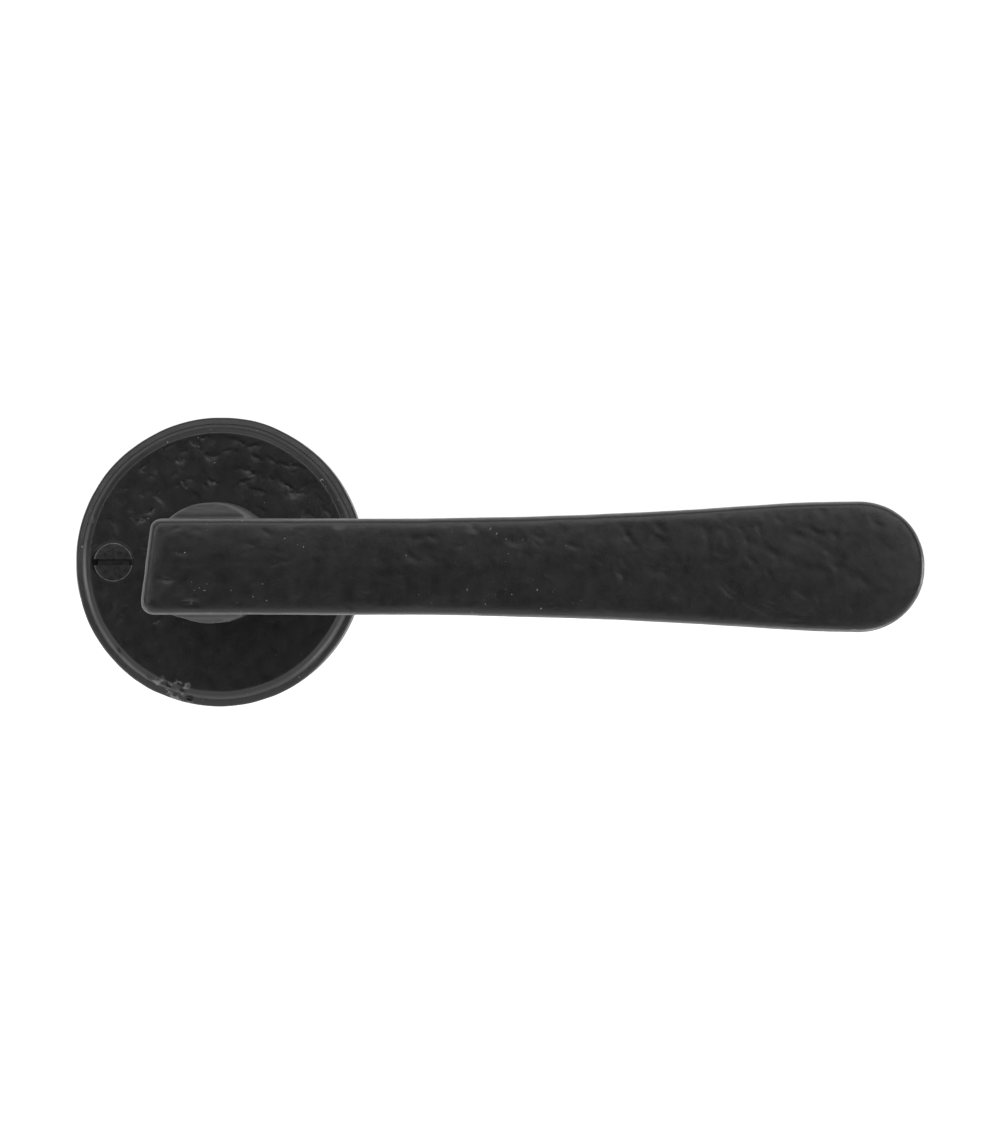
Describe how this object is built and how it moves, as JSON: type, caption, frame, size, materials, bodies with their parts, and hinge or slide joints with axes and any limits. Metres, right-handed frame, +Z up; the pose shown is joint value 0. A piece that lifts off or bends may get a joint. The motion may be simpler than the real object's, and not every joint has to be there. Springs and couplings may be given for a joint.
{
  "type": "door lever handle",
  "caption": "Black cast-iron door lever with a flat paddle-ended bar on a round face-fixed rose, with 8 mm spindle and sprung return.",
  "frame": {"origin": "on the spindle axis, in the plane of the door's face", "axes": "-Y out of the door towards the user, +X from the spindle axis along the lever, +Z up"},
  "size_m": [0.1493, 0.128, 0.052],
  "materials": {
    "black_iron": "satin black powder coat over cast iron",
    "black_screw": "satin black coated steel",
    "bush_bronze": "machined",
    "nylon": "natural nylon",
    "spring_steel": "oiled dark spring steel",
    "zinc_steel": "bright zinc plate"
  },
  "bodies": {
    "rose_side": {"rose": "black_iron", "rose_bush": "bush_bronze", "wood_screws": "black_screw", "back_plate": "zinc_steel", "back_plate_screws": "zinc_steel", "spring_anchor_pins": "zinc_steel", "stop_pins": "zinc_steel", "return_spring": "spring_steel"},
    "lever_side": {"lever": "black_iron", "neck_washer": "nylon", "spring_washer": "spring_steel", "retaining_washer": "zinc_steel", "snap_rings": "spring_steel", "spring_cam": "zinc_steel", "spindle": "zinc_steel", "grub_screw": "spring_steel"}
  },
  "joints": [
    {"name": "lever_turn", "type": "hinge", "parent": "rose_side", "child": "lever_side", "pos_m": [0, 0, 0], "axis": [0, 1, 0], "range_deg": [-40, 40], "stiffness_Nm_per_rad": 0.4, "springref_deg": -10.31, "deforming": ["return_spring"]}
  ]
}
